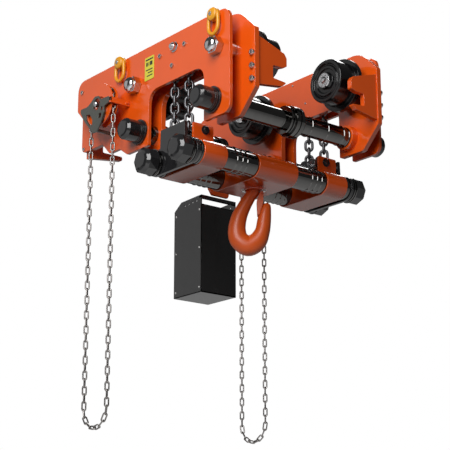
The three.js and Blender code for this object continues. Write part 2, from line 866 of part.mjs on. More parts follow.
function hookAndLatch() {
  const turn = (geometry) => geometry.rotateZ(hook.turn);
  add('hook', turn(hookBody()), 'orange');
  add('hook_latch', turn(latch()), 'orange');
}

// ---------- load rings, label and chain container ----------

// Swivel lifting ring: a round body on the plate and a long link that hangs from it.
function loadRing() {
  const x = frame.outerFace + gap;
  const body = turned([
    [x, 0],
    [x, ring.r],
    [x + 20, ring.r],
    [x + 24, ring.r - 5],
    [x + 24, 0],
  ], 'x', sides.middle);
  const half = ring.width / 2;
  const path = new THREE.CatmullRomCurve3([
    [0, 14], [half * 0.8, 4], [half, -20], [half, -44], [half * 0.7, -ring.drop + 8],
    [0, -ring.drop], [-half * 0.7, -ring.drop + 8], [-half, -44], [-half, -20], [-half * 0.8, 4],
  ].map(([y, z]) => new THREE.Vector3(x + 11, y, z)), true);
  const section = new THREE.Shape();
  section.absarc(0, 0, ring.wire, 0, 2 * Math.PI, false);
  const link = new THREE.ExtrudeGeometry(
    new THREE.Shape(section.getPoints(2)), { steps: 24, extrudePath: path, bevelEnabled: false });
  return join(body, link);
}

function loadRings() {
  for (const [name, y] of [['front', ring.y[0]], ['rear', ring.y[1]]]) {
    addBothSides(`${name}_load_ring`, loadRing().translate(0, y, ring.z), 'yellow');
  }
}

function capacityPlate() {
  const x = frame.outerFace + gap;
  const shape = outline([[119, 76, 4], [170, 76, 4], [170, 158, 4], [119, 158, 4]]);
  add('capacity_plate', mirrored(plateAcross(shape, x, x + 1.5)), 'label');
}

function chainContainer() {
  const { x, y, side, bottom, top, ear, wall } = container;
  const shell = cut(
    box(x, x + side, y, y + side, bottom, top),
    box(x + wall, x + side - wall, y + wall, y + side - wall, bottom + wall, top + 10),
  );
  const earShape = outline([
    [y, top - 10],
    [y, ear],
    [y + 22, ear],
    [y + 124, ear - 4],
    [y + side, ear - 34],
    [y + side, top - 10],
  ]);
  const nearEar = plateAcross(earShape, x, x + wall);
  const farEar = plateAcross(earShape, x + side - wall, x + side);
  const strap = box(x, x + side, y, y + 14, ear - 12, ear);
  add('chain_container', join(shell, nearEar, farEar, strap), 'sheet');
}

// ---------- assembly ----------

sideFrames();
antiDropBrackets();
wheels();
crossShafts();
drives();
upperSheaves();
liftGearCase();
chainFalls();
loadBlock();
blockSheaves();
hookAndLatch();
loadRings();
capacityPlate();
chainContainer();

export default hoist;
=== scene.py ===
"""Looks of a low-headroom chain hoist built into a geared beam trolley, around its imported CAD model.

Lengths in this file are millimetres in the part's frame, and become metres when a mesh is made.
X runs across the beam, Y along it and +Z up; the origin is on the beam, between the wheels.
"""
import math

import bmesh
import bpy
from mathutils import Matrix, Vector


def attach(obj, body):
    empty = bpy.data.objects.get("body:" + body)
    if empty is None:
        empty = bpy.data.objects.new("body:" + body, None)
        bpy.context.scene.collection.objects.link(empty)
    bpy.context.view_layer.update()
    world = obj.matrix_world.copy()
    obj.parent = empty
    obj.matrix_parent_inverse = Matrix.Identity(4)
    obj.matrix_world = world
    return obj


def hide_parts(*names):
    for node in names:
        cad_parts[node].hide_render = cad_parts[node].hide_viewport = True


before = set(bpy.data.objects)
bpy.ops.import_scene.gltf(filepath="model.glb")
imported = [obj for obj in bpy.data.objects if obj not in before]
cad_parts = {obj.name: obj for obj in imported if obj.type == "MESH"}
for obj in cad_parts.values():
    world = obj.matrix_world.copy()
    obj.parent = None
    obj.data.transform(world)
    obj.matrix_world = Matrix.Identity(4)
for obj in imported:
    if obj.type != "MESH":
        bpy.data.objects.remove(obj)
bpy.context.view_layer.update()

MM = 0.001

# ---------- camera ----------

CAMERA_PLACE = (-2726.3, -3209, -1559.2)
CAMERA_AIM = (0.60736, 0.74852, 0.26615)
LENS = 106.38


def make_camera():
    data = bpy.data.cameras.new("camera")
    data.lens = LENS
    data.sensor_width = 36
    camera = bpy.data.objects.new("camera", data)
    camera.location = Vector(CAMERA_PLACE) * MM
    camera.rotation_mode = "QUATERNION"
    camera.rotation_quaternion = Vector(CAMERA_AIM).to_track_quat("-Z", "Y")
    data.clip_end = 50
    bpy.context.scene.collection.objects.link(camera)
    bpy.context.scene.camera = camera


make_camera()

# ---------- materials ----------


class Nodes:
    """A new material and short ways to add nodes to it."""

    def __init__(self, name):
        self.material = bpy.data.materials.new(name)
        self.material.use_nodes = True
        self.tree = self.material.node_tree
        self.shader = self.tree.nodes["Principled BSDF"]
        self.place = self.add("ShaderNodeTexCoord").outputs["Object"]

    def add(self, kind, **settings):
        node = self.tree.nodes.new(kind)
        for key, value in settings.items():
            setattr(node, key, value)
        return node

    def link(self, out, socket):
        self.tree.links.new(out, socket)

    def noise(self, scale, detail=3.0, roughness=0.55):
        """A noise value from 0 to 1. Scale is in waves per metre."""
        node = self.add("ShaderNodeTexNoise")
        node.inputs["Scale"].default_value = scale
        node.inputs["Detail"].default_value = detail
        node.inputs["Roughness"].default_value = roughness
        self.link(self.place, node.inputs["Vector"])
        return node.outputs["Fac"]

    def ramp(self, value, stops):
        """Colours along a value. Each stop is (position, colour)."""
        node = self.add("ShaderNodeValToRGB")
        elements = node.color_ramp.elements
        while len(elements) < len(stops):
            elements.new(0.5)
        for element, (position, colour) in zip(elements, stops):
            element.position = position
            element.color = (*colour, 1)
        self.link(value, node.inputs["Fac"])
        return node.outputs["Color"]

    def spread(self, value, low, high, span=(0.3, 0.7)):
        """The value, spread from low to high."""
        node = self.add("ShaderNodeMapRange")
        node.inputs["From Min"].default_value = span[0]
        node.inputs["From Max"].default_value = span[1]
        node.inputs["To Min"].default_value = low
        node.inputs["To Max"].default_value = high
        self.link(value, node.inputs["Value"])
        return node.outputs["Result"]

    def bump(self, value, height, strength=1.0):
        node = self.add("ShaderNodeBump")
        node.inputs["Distance"].default_value = height
        node.inputs["Strength"].default_value = strength
        self.link(value, node.inputs["Height"])
        self.link(node.outputs["Normal"], self.shader.inputs["Normal"])

    def set(self, **values):
        for key, value in values.items():
            self.shader.inputs[key.replace("_", " ")].default_value = value


def shades(colour, share):
    """A colour made darker and lighter by the same share."""
    return [tuple(c * k for c in colour) for k in (1 - share, 1, 1 + share)]


def paint(name, colour, rough, variation=0.07, peel=0.00006, coat=0.25):
    """Sprayed gloss paint: faint blotches, orange peel, and uneven gloss."""
    nodes = Nodes(name)
    low, middle, high = shades(colour, variation)
    blotches = nodes.noise(9, detail=4)
    nodes.link(
        nodes.ramp(blotches, [(0.32, low), (0.5, middle), (0.68, high)]),
        nodes.shader.inputs["Base Color"],
    )
    nodes.link(
        nodes.spread(nodes.noise(38, detail=5), rough[0], rough[1]),
        nodes.shader.inputs["Roughness"],
    )
    nodes.bump(nodes.noise(420, detail=2), peel)
    nodes.set(Coat_Weight=coat, Coat_Roughness=0.08)
    return nodes.material


def metal(name, colour, rough, variation=0.15, grain=0.00008, scale=60):
    """Bare or plated metal: uneven tone, gloss and a fine surface grain."""
    nodes = Nodes(name)
    low, middle, high = shades(colour, variation)
    tone = nodes.noise(scale, detail=5)
    nodes.link(
        nodes.ramp(tone, [(0.3, low), (0.5, middle), (0.7, high)]),
        nodes.shader.inputs["Base Color"],
    )
    nodes.link(
        nodes.spread(nodes.noise(3 * scale, detail=4), rough[0], rough[1]),
        nodes.shader.inputs["Roughness"],
    )
    nodes.bump(nodes.noise(9 * scale, detail=2), grain)
    nodes.set(Metallic=1.0)
    return nodes.material


def plastic(name, colour, rough, variation=0.08, texture=0.0001):
    """Moulded or printed film: fine matt texture and faint tone changes."""
    nodes = Nodes(name)
    low, middle, high = shades(colour, variation)
    nodes.link(
        nodes.ramp(nodes.noise(55, detail=4), [(0.3, low), (0.5, middle), (0.7, high)]),
        nodes.shader.inputs["Base Color"],
    )
    nodes.link(
        nodes.spread(nodes.noise(150), rough[0], rough[1]), nodes.shader.inputs["Roughness"]
    )
    nodes.bump(nodes.noise(900, detail=1), texture)
    return nodes.material


MATERIALS = {
    "orange": paint("orange_paint", (0.76, 0.092, 0.005), (0.12, 0.22), 0.03, 0.00002, 0.3),
    "cast": paint("cast_orange_paint", (0.62, 0.085, 0.006), (0.32, 0.46), 0.05, 0.00006, 0.05),
    "black": paint("black_paint", (0.014, 0.014, 0.015), (0.07, 0.14), 0.08, 0.00002, 0.2),
    "wheel": paint("wheel_paint", (0.003, 0.003, 0.0035), (0.16, 0.26), 0.1, 0.00003, 0.0),
    "bar": metal("black_oxide_bar", (0.11, 0.108, 0.105), (0.04, 0.09), 0.05, 0.000006),
    "chrome": metal("chrome", (0.58, 0.58, 0.59), (0.04, 0.10), 0.04, 0.00001),
    "yellow": paint("yellow_paint", (0.74, 0.32, 0.012), (0.26, 0.38), 0.04, coat=0.1),
    "steel": metal("steel", (0.36, 0.36, 0.37), (0.20, 0.36)),
    "chain": metal("zinc_chain", (0.25, 0.235, 0.225), (0.14, 0.28), 0.18),
    "load_chain": metal("load_chain", (0.11, 0.11, 0.115), (0.26, 0.40), 0.2),
    "grey": paint("grey_paint", (0.052, 0.055, 0.045), (0.22, 0.36), 0.06, 0.00003, 0.2),
    "sheet": paint("dark_sheet", (0.018, 0.018, 0.018), (0.14, 0.24), 0.06, 0.00003, 0.4),
    "label": plastic("label_film", (0.66, 0.60, 0.045), (0.30, 0.42)),
    "print": plastic("label_print", (0.02, 0.02, 0.018), (0.35, 0.5)),
    "screw": metal("screw_steel", (0.50, 0.49, 0.48), (0.14, 0.26)),
}

# ---------- shapes ----------
# A shape is (points, faces): points in millimetres, faces as lists of point numbers.

SMOOTH_BELOW = math.radians(38)


def piece(name, shapes, body, look, replaces=()):
    """One mesh object of several closed shapes, riding on a body."""
    bm = bmesh.new()
    for points, faces in shapes:
        verts = [bm.verts.new(Vector(p) * MM) for p in points]
        for face in faces:
            bm.faces.new([verts[i] for i in face])
    bmesh.ops.remove_doubles(bm, verts=bm.verts, dist=1e-7)
    bmesh.ops.recalc_face_normals(bm, faces=bm.faces)
    mesh = bpy.data.meshes.new(name)
    bm.to_mesh(mesh)
    bm.free()
    mesh.shade_smooth()
    mesh.set_sharp_from_angle(angle=SMOOTH_BELOW)
    mesh.materials.append(MATERIALS[look])
    obj = bpy.data.objects.new(name, mesh)
    bpy.context.scene.collection.objects.link(obj)
    flat = obj.modifiers.new("flat_faces", "WEIGHTED_NORMAL")
    flat.keep_sharp = True
    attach(obj, body)
    if replaces:
        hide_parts(*replaces)
    return obj


def hook_turned(shapes):
    """Shapes of the hook, turned about the Z axis into the hook's own plane."""
    c, s = math.cos(HOOK_TURN), math.sin(HOOK_TURN)
    return [([(c * x - s * y, s * x + c * y, z) for x, y, z in points], faces)
            for points, faces in shapes]


def mirrored(shapes):
    """The same shapes on the other side of the beam."""
    return [([(-x, y, z) for x, y, z in points], [face[::-1] for face in faces])
            for points, faces in shapes]


def on_side(side, shapes):
    """Shapes that were made for the right side, on the given side."""
    return mirrored(shapes) if side == "left" else shapes


def rounded(start, corner, end, steps):
    """Points on a quadratic curve from start to end that bends towards the corner."""
    curve = []
    for k in range(steps + 1):
        t = k / steps
        curve.append(tuple((1 - t) ** 2 * start + 2 * t * (1 - t) * corner + t * t * end))
    return curve


# How much of a side the rounding of one of its corners may take.
LONGEST_RUN = 0.45


def softened(profile, radius, loop=False, steps=3):
    """A profile with each corner rounded by a small radius."""
    out = []
    count = len(profile)
    for i, corner in enumerate(profile):
        if not loop and i in (0, count - 1):
            out.append(corner)
            continue
        here = Vector(corner)
        back, on = Vector(profile[i - 1]) - here, Vector(profile[(i + 1) % count]) - here
        start = here + back.normalized() * min(radius, LONGEST_RUN * back.length)
        end = here + on.normalized() * min(radius, LONGEST_RUN * on.length)
        out += rounded(start, here, end, steps)
    return out


def outline(corners, steps=8):
    """A closed outline through corners; a third number rounds that corner to a radius."""
    out = []
    count = len(corners)
    for i, corner in enumerate(corners):
        here = Vector(corner[:2])
        if len(corner) < 3:
            out.append(tuple(here))
            continue
        back = (Vector(corners[i - 1][:2]) - here).normalized()
        on = (Vector(corners[(i + 1) % count][:2]) - here).normalized()
        half = math.acos(max(-1, min(1, back.dot(on)))) / 2
        run = corner[2] / math.tan(half)
        out += rounded(here + back * run, here, here + on * run, steps)
    return out


def circle(u, v, r, count=48):
    steps = [2 * math.pi * i / count for i in range(count)]
    return [(u + r * math.cos(a), v + r * math.sin(a)) for a in steps]


def hexagon(u, v, flats):
    """A regular hexagon with the given distance across its flats."""
    return circle(u, v, flats / 2 / math.cos(math.pi / 6), 6)


# Where an outline's (u, v) and the height across it go: plane name to point.
PLANES = {
    "x": lambda u, v, h: (h, u, v),
    "y": lambda u, v, h: (u, h, v),
    "z": lambda u, v, h: (u, v, h),
}


def prism(shape, holes, low, high, plane, edge=1.2):
    """A plate with rounded edges: an outline with holes, from low to high across its plane."""
    curve = bpy.data.curves.new("outline", "CURVE")
    curve.dimensions = "2D"
    curve.fill_mode = "BOTH"
    for points in [shape, *holes]:
        spline = curve.splines.new("POLY")
        spline.points.add(len(points) - 1)
        spline.use_cyclic_u = True
        for point, (u, v) in zip(spline.points, points):
            point.co = (u, v, 0, 1)
    curve.extrude = (high - low) / 2 - edge
    curve.bevel_depth = edge
    curve.offset = -edge
    curve.bevel_resolution = 2
    holder = bpy.data.objects.new("outline", curve)
    bpy.context.scene.collection.objects.link(holder)
    graph = bpy.context.evaluated_depsgraph_get()
    mesh = bpy.data.meshes.new_from_object(holder.evaluated_get(graph))
    bm = bmesh.new()
    bm.from_mesh(mesh)
    bmesh.ops.remove_doubles(bm, verts=bm.verts, dist=1e-3)
    bm.verts.index_update()
    place = PLANES[plane]
    middle = (low + high) / 2
    points = [place(v.co.x, v.co.y, middle + v.co.z) for v in bm.verts]
    faces = [[v.index for v in f.verts] for f in bm.faces]
    bm.free()
    bpy.data.objects.remove(holder)
    bpy.data.curves.remove(curve)
    bpy.data.meshes.remove(mesh)
    return points, faces


def block(x, y, z, edge=1.2, plane="x"):
    """A box with rounded edges, from its limits in X, Y and Z."""
    limits = {"x": (y, z, x), "y": (x, z, y), "z": (x, y, z)}[plane]
    (u0, u1), (v0, v1), (low, high) = limits
    return prism([(u0, v0), (u1, v0), (u1, v1), (u0, v1)], [], low, high, plane, edge)


def lathe(profile, axis, centre=(0, 0), count=64, soft=1.0, loop=False, steps=3):
    """A turned shape. The profile is [position along the axis, radius]; centre is the axis's place."""
    line = softened(profile, soft, loop, steps) if soft else list(profile)
    points, rings = [], []
    for along, radius in line:
        if radius < 1e-6:
            rings.append([len(points)])
            points.append((along, 0.0, 0.0))
            continue
        rings.append(list(range(len(points), len(points) + count)))
        for i in range(count):
            a = 2 * math.pi * i / count
            points.append((along, radius * math.cos(a), radius * math.sin(a)))
    faces = []
    pairs = list(zip(rings, rings[1:]))
    if loop:
        pairs.append((rings[-1], rings[0]))
    for one, two in pairs:
        for i in range(count):
            j = (i + 1) % count
            if len(one) == 1 and len(two) == 1:
                break
            if len(one) == 1:
                faces.append([one[0], two[j], two[i]])
            elif len(two) == 1:
                faces.append([one[i], one[j], two[0]])
            else:
                faces.append([one[i], one[j], two[j], two[i]])
    order = {"x": (0, 1, 2), "y": (2, 0, 1), "z": (1, 2, 0)}[axis]
    place = {
        "x": lambda p: (p[0], p[1] + centre[0], p[2] + centre[1]),
        "y": lambda p: (p[0] + centre[0], p[1], p[2] + centre[1]),
        "z": lambda p: (p[0] + centre[0], p[1] + centre[1], p[2]),
    }[axis]
    return [place(tuple(p[k] for k in order)) for p in points], faces


def rod(axis, low, high, r, centre=(0, 0), count=32, soft=0.8):
    """A round bar from low to high along its axis, with its ends rounded."""
    return lathe([(low, 0), (low, r), (high, r), (high, 0)], axis, centre, count, soft)


def ring_bar(line, radius, sides, reference=(1, 0, 0)):
    """A round bar along a closed line of points."""
    count = len(line)
    path = [Vector(p) for p in line]
    points, faces = [], []
    for k, here in enumerate(path):
        along = (path[(k + 1) % count] - path[k - 1]).normalized()
        across = Vector(reference) - along * Vector(reference).dot(along)
        across.normalize()
        other = along.cross(across)
        for i in range(sides):
            a = 2 * math.pi * i / sides
            points.append(tuple(here + (across * math.cos(a) + other * math.sin(a)) * radius))
    for k in range(count):
        here, after = k * sides, (k + 1) % count * sides
        for i in range(sides):
            j = (i + 1) % sides
            faces.append([here + i, here + j, after + j, after + i])
    return points, faces


def hexagon_bolt(axis, base, out, flats, height, centre, washer=0.0):
    """A bolt head on a face: a washer, a hexagon with soft corners and a shallow dome.

    Out is 1 or -1, the way the head stands out along its axis.
    """
    shapes = []
    start = base + out * washer
    if washer:
        shapes.append(rod(axis, *sorted((base, start)), flats * 0.68, centre, 32, 0.4))
    end = start + out * height
    shapes.append(prism(hexagon(*centre, flats), [], *sorted((start, end)), axis, 0.8))
    foot, tip = end - out * 0.5, end + out * 0.8
    dome = [(foot, 0), (foot, flats * 0.42), (tip, flats * 0.36), (tip, 0)]
    shapes.append(lathe(dome, axis, centre, 24, 0.2))
    return shapes


def link_points(pitch, width, wire, steps=10):
    """The middle line of one chain link along U, with its plane along V."""
    r = (width - wire) / 2
    half = (pitch + wire) / 2 - r
    line = []
    for end, start in ((1, -90), (-1, 90)):
        for k in range(steps + 1):
            a = math.radians(start + 180 * k / steps)
            line.append((end * half + r * math.cos(a), r * math.sin(a)))
    return line


# Each link stands at this angle to the plane of its chain, one to each side in turn.
LINK_TWIST = math.pi / 4
LINK_SIDES = 10


def chain(path, pitch, width, wire):
    """Links along a line of points, each turned a quarter of a turn from the one before."""
    line = [Vector(p) for p in path]
    lengths = [0.0]
    for a, b in zip(line, line[1:]):
        lengths.append(lengths[-1] + (b - a).length)
    count = max(1, round(lengths[-1] / pitch))
    step = lengths[-1] / count
    shapes = []
    loop = link_points(pitch, width, wire)
    reference = Vector((1, 0, 0))
    for n in range(count):
        centre = along_line(line, lengths, (n + 0.5) * step)
        ahead = along_line(line, lengths, (n + 0.9) * step)
        behind = along_line(line, lengths, (n + 0.1) * step)
        along = (ahead - behind).normalized()
        side = reference - along * reference.dot(along)
        if side.length < 0.1:
            side = Vector((0, 1, 0)) - along * along.y
        side.normalize()
        side = Matrix.Rotation(LINK_TWIST + n % 2 * math.pi / 2, 3, along) @ side
        middle = [centre + along * u + side * v for u, v in loop]
        shapes.append(ring_bar(middle, wire / 2, LINK_SIDES, along.cross(side)))
    return shapes


def along_line(line, lengths, distance):
    """The point at a distance along a line of points, given the length up to each of them."""
    distance = max(0.0, min(lengths[-1], distance))
    for k in range(1, len(line)):
        if distance <= lengths[k]:
            share = (distance - lengths[k - 1]) / max(1e-9, lengths[k] - lengths[k - 1])
            return line[k - 1].lerp(line[k], share)
    return line[-1]


def arc(centre, r, start, end, steps, x=None, y=None):
    """Points of an arc in the plane of a fixed X or a fixed Y; the angles are in degrees."""
    out = []
    for k in range(steps + 1):
        a = math.radians(start + (end - start) * k / steps)
        u, v = centre[0] + r * math.cos(a), centre[1] + r * math.sin(a)
        out.append((x, u, v) if x is not None else (u, y, v))
    return out


# ---------- main dimensions, as in the CAD ----------

TOP, BOTTOM = 195, -152
OUTER_FACE, OUTER_IN = 327, 315
INNER_FACE, INNER_OUT = 256, 274
CHAIN_X = (OUTER_IN + INNER_OUT) / 2
WHEEL_Y, TREAD, FLANGE = 218, 75, 90
SHAFT_Y, SHAFT_Z = 194, -95
GAP = 0.3
GEAR_TEETH, PINION_TEETH, MODULE = 36, 16, 5
GEAR_DISTANCE = MODULE * (GEAR_TEETH + PINION_TEETH) / 2
TRAVEL_Z = 28
# Places (Y, Z) of the two hand wheels. The travel wheel's pinion meshes with the left rear wheel.
TRAVEL = (WHEEL_Y + math.sqrt(GEAR_DISTANCE**2 - (TREAD - TRAVEL_Z) ** 2), TRAVEL_Z)
LIFT = (456, 70)
HAND_X, PITCH_R = 380, 65
GEAR_CASE_COVER = 306
HAND_CHAIN = {"pitch": 25, "width": 17, "wire": 5}
LOAD_CHAIN = {"pitch": 28, "width": 34, "wire": 10}
SHEAVE_Y, SHEAVE_Z, SHEAVE_R = 8, 148, 37.5
FALLS = (SHEAVE_Y - SHEAVE_R, SHEAVE_Y + SHEAVE_R)
BLOCK_SHEAVE_Z, BLOCK_SHEAVE_R = -146, 32.5
BLOCK_SHEAVE_X = CHAIN_X - BLOCK_SHEAVE_R
BAR_Y, BAR_Z, SLEEVE_R = 88, -232, 43
SLEEVE_TOP = BAR_Z + SLEEVE_R
HOOK_TURN = -0.6876
SIDES = {"right": 1, "left": -1}
ENDS = {"front": -1, "rear": 1}

# ---------- side frames ----------

# The arch in the foot of each plate, by (Y, Z) and the radius of the corner.
ARCH = [(-147, BOTTOM, 8), (-147, 35, 50), (147, 35, 50), (147, BOTTOM, 8)]
PLATE_EDGE = 0.9


def outer_plate():
    corners = [
        (-275, TOP, 45),
        (-275, BOTTOM, 32),
        *ARCH,
        (268, BOTTOM, 14),
        (312, -122, 10),
        (372, -122, 16),
        (580, 86, 16),
        (580, TOP, 45),
    ]
    return prism(outline(corners), [], OUTER_IN, OUTER_FACE, "x", PLATE_EDGE)


def inner_plate():
    corners = [
        (-256, TOP, 100),
        (-332, 119, 14),
        (-332, -77, 14),
        (-257, BOTTOM, 18),
        *ARCH,
        (256, BOTTOM, 14),
        (363, -45, 14),
        (628, -45, 24),
        (628, TOP, 45),
    ]
    start, end, bore, r = INNER_FACE - 24, INNER_FACE + 2, 32.3, 42
    boss = [(start, bore), (start, r), (end, r), (end, bore)]
    bosses = [lathe(boss, "x", (sign * SHAFT_Y, SHAFT_Z), 64, 2, True) for sign in ENDS.values()]
    return [prism(outline(corners), [], INNER_FACE, INNER_OUT, "x", PLATE_EDGE), *bosses]


def container_lug():
    corners = [
        (236, -52), (236, -99), (252, -121), (325, -121), (330, -111), (330, -52), (314, -52),
        (314, 15), (272, 15), (272, -37), (260, -37), (260, -52),
    ]
    return prism(corners, [], 534, 546, "y", 0.8)


for side in SIDES:
    piece(
        f"{side}_outer_side_plate", on_side(side, [outer_plate()]), "trolley_frame", "orange",
        [f"{side}_outer_plate"],
    )
    shapes = inner_plate() + ([container_lug()] if side == "right" else [])
    piece(
        f"{side}_inner_side_plate", on_side(side, shapes), "trolley_frame", "orange",
        [f"{side}_inner_plate"],
    )

# Jaws round the flange of the beam, and the bolts that hold them.
JAW_TOP = [
    (255.7, 96), (150, 62, 8), (140, 48, 6), (140, 20, 6), (160, 12), (197, 12, 6), (197, -30, 6),
]
JAW_FOOT = (255.7, -64)
# At each end of the frame: where the jaw starts and stops along the beam, and its lower lip.
JAWS = {
    "front": (-328, -310, [(141, -34, 4), (160, -50, 8)]),
    "rear": (606, 624, [(113, -29, 7), (113, -45, 7), (175, -53, 8)]),
}
JAW_BOLTS = [(-321, z) for z in (36, -7, -50)]
for side in SIDES:
    for end, (low, high, lip) in JAWS.items():
        jaw = prism(outline([*JAW_TOP, *lip, JAW_FOOT]), [], low, high, "y", PLATE_EDGE)
        piece(
            f"{side}_{end}_jaw", on_side(side, [jaw]), "trolley_frame", "orange",
            [f"{side}_{end}_bracket"],
        )


def screw_head(y, z, x, r):
    """A round cap head with a hexagon socket."""
    high, socket = 0.8 * r, 0.52 * r
    ring = prism(circle(y, z, r, 28), [hexagon(y, z, 2 * socket)], x, x + high, "x", 0.5)
    floor = rod("x", x, x + 1.5, 1.2 * socket, (y, z), 28, 0)
    return [ring, floor]


# Places of the small screws on each plate, by (Y, Z).
OUTER_SCREWS = [(84.7, 140.2), (-47.9, 140.4), (18.1, 86.5), (548.8, 150.5)]
INNER_SCREWS = [(611.9, -33.3)]
GUIDE_SCREWS = [(81.9, 178.9), (17.5, 94.1)]
for side in SIDES:
    shapes = [s for place in OUTER_SCREWS for s in screw_head(*place, OUTER_FACE, 7.5)]
    shapes += [s for place in INNER_SCREWS for s in screw_head(*place, INNER_OUT, 6)]
    shapes += [s for place in JAW_BOLTS for s in screw_head(*place, INNER_OUT, 10)]
    shapes += [rod("x", INNER_FACE - 3, INNER_FACE, 3.5, place, 20, 0.6) for place in GUIDE_SCREWS]
    piece(f"{side}_plate_screws", on_side(side, shapes), "trolley_frame", "screw")

# ---------- wheels and axles ----------

WHEEL = [
    (124, 0), (124, 24), (134, 29), (134, 41), (130, 43), (130, 52), (134, 54), (134, 58),
    (128, 62), (128, 72), (132, TREAD), (194, TREAD), (194, FLANGE), (212, FLANGE), (212, 36),
    (252, 36), (252, 18.3), (148, 18.3), (148, 0),
]
GEAR_X = (214, 228)
HUB_BOLTS, HUB_BOLT_R = 6, 18.5
MESH_ANGLE = math.atan2(TRAVEL[1] - TREAD, TRAVEL[0] - WHEEL_Y)


# One tooth: its width in parts of a pitch, and its height in modules, from one root to the next.
TOOTH = [
    (-0.3, -1), (-0.2, -0.35), (-0.14, 0.35), (-0.1, 0.72), (0.1, 0.72), (0.14, 0.35), (0.2, -0.35),
    (0.3, -1),
]


def gear_outline(teeth, phase, y, z):
    """A spur gear outline; each flank is a few points, leaning as an involute does."""
    pitch = MODULE * teeth / 2
    step = 2 * math.pi / teeth
    out = []
    for i in range(teeth):
        for part, height in TOOTH:
            r = pitch + height * MODULE
            a = (i + part) * step + phase
            out.append((r * math.cos(a) + y, r * math.sin(a) + z))
    return out


def trolley_wheel(side, end, sign):
    centre = (sign * WHEEL_Y, TREAD)
    shapes = [lathe(WHEEL, "x", centre, 96, 1.6)]
    if (side, end) == ("left", "rear"):
        low, high = GEAR_X
        ring = gear_outline(GEAR_TEETH, MESH_ANGLE, *centre)
        shapes.append(prism(ring, [circle(*centre, 33, 64)], low, high - 0.5, "x", 0.4))
    body = f"{side}_{end}_wheel_set"
    piece(
        f"{side}_{end}_flanged_wheel", on_side(side, shapes), body, "wheel",
        [f"{side}_{end}_wheel"],
    )
    cap = [(117, 0), (118, 8), (120, 12), (120, 25), (124.2, 27), (124.2, 0)]
    hub = [lathe(cap, "x", centre, 48, 0.8)]
    for bolt in circle(*centre, HUB_BOLT_R, HUB_BOLTS):
        hub += hexagon_bolt("x", 120, -1, 6.5, 2.4, bolt)
    piece(f"{side}_{end}_wheel_hub", on_side(side, hub), body, "chrome")


def axle(side, end, sign):
    centre = (sign * WHEEL_Y, TREAD)
    pin = [
        (148.4, 0), (148.4, 18), (252.5, 18), (252.5, 22), (274.3, 22), (274.3, 30), (314.7, 30),
        (314.7, 22), (328, 22), (328, 0),
    ]
    dome = [(352, 0), (352, 25), (361, 25), (368, 19), (371.5, 9), (372, 0)]
    shapes = [
        lathe(pin, "x", centre, 48, 0.8),
        prism(hexagon(*centre, 52), [], OUTER_FACE + GAP, OUTER_FACE + GAP + 26, "x", 1.6),
        lathe(dome, "x", centre, 48, 6, steps=6),
    ]
    piece(
        f"{side}_{end}_axle_pin", on_side(side, shapes), "trolley_frame", "chrome",
        [f"{side}_{end}_axle"],
    )


for side in SIDES:
    for end, sign in ENDS.items():
        trolley_wheel(side, end, sign)
        axle(side, end, sign)

# ---------- cross shafts ----------

# Places along X of the thin rings on a cross shaft.
SHAFT_RINGS = (63, 134, 204, 227, 246)
RING_HALF_WIDTH = 2.2


def snap_rings(places, r, centre):
    """Thin rings with steep sides that stand a little proud of the shaft."""
    half = RING_HALF_WIDTH
    band = [
        (-half, r - 0.5), (-half, r), (-0.4, r + half), (0.4, r + half), (half, r), (half, r - 0.5),
    ]
    return [lathe([(x + a, q) for a, q in band], "x", centre, 72, 0.3, True, 2) for x in places]


def cross_shaft(name, y, node):
    """Plain on the left, a cluster of collars in the middle and spacer rings on the right."""
    profile = [
        (-362, 0), (-362, 22), (-294, 22), (-294, 32), (-292, 32),
        (-60.7, 32), (-60.7, 31.4), (-59.3, 31.4), (-59.3, 32), (-44, 32),
        (-42, 32), (-42, 47), (-35, 47), (-35, 41), (-28, 41), (-28, 46), (-20, 46), (-20, 52),
        (-6, 52), (-6, 48), (-2, 48), (-2, 52), (12, 52), (16, 46), (22, 42), (24, 32),
        (292, 32), (294, 32), (294, 22), (362, 22), (362, 0),
    ]
    centre = (y, SHAFT_Z)
    piece(name, [lathe(profile, "x", centre, 96, 0.4, steps=2)], "trolley_frame", "bar", [node])
    piece(f"{name}_rings", snap_rings(SHAFT_RINGS, 32, centre), "trolley_frame", "bar")


cross_shaft("front_cross_bar", -SHAFT_Y, "front_cross_shaft")
cross_shaft("rear_cross_bar", SHAFT_Y, "rear_cross_shaft")


def shaft_nut(side, end, sign):
    centre = (sign * SHAFT_Y, SHAFT_Z)
    face = OUTER_FACE + GAP
    washer = [(face, 22.6), (face, 43), (335, 43), (335, 22.6)]
    spacer = [(335, 22.6), (335, 38.5), (341, 38.5), (341, 22.6)]
    cap = [
        (341, 22.6), (341, 36.5), (346, 36.5), (346, 34), (349, 34), (349, 36.5), (389, 36.5),
        (398, 29), (400, 22), (400, 0), (356, 0), (364, 22.6),
    ]
    shapes = [
        lathe(washer, "x", centre, 64, 1, True),
        lathe(spacer, "x", centre, 64, 0.8, True),
        lathe(cap, "x", centre, 64, 1.2),
    ]
    piece(
        f"{side}_{end}_shaft_cap", on_side(side, shapes), "trolley_frame", "black",
        [f"{side}_{end}_shaft_nut"],
    )


for side in SIDES:
    for end, sign in ENDS.items():
        shaft_nut(side, end, sign)

# ---------- hand wheels, guides and hand chains ----------

# Each drive's side and place, and the height of the lower end of its hand chain.
DRIVES = {
    "trolley": {"side": "left", "at": TRAVEL, "body": "trolley_drive", "bottom": -1057},
    "hoist": {"side": "right", "at": LIFT, "body": "lift_drive", "bottom": -1040},
}


def pocket_wheel(at):
    """Grooved hand wheel, turned from one profile with a groove for the chain."""
    rim = [
        (361, 13.4), (361, 25), (367, 30), (367, 74), (370, 75), (371, 67), (373, 57), (387, 57),
        (389, 67), (390, 75), (393, 74), (393, 30), (388, 26), (388, 13.4),
    ]
    return lathe(rim, "x", at, 96, 0.8, True)


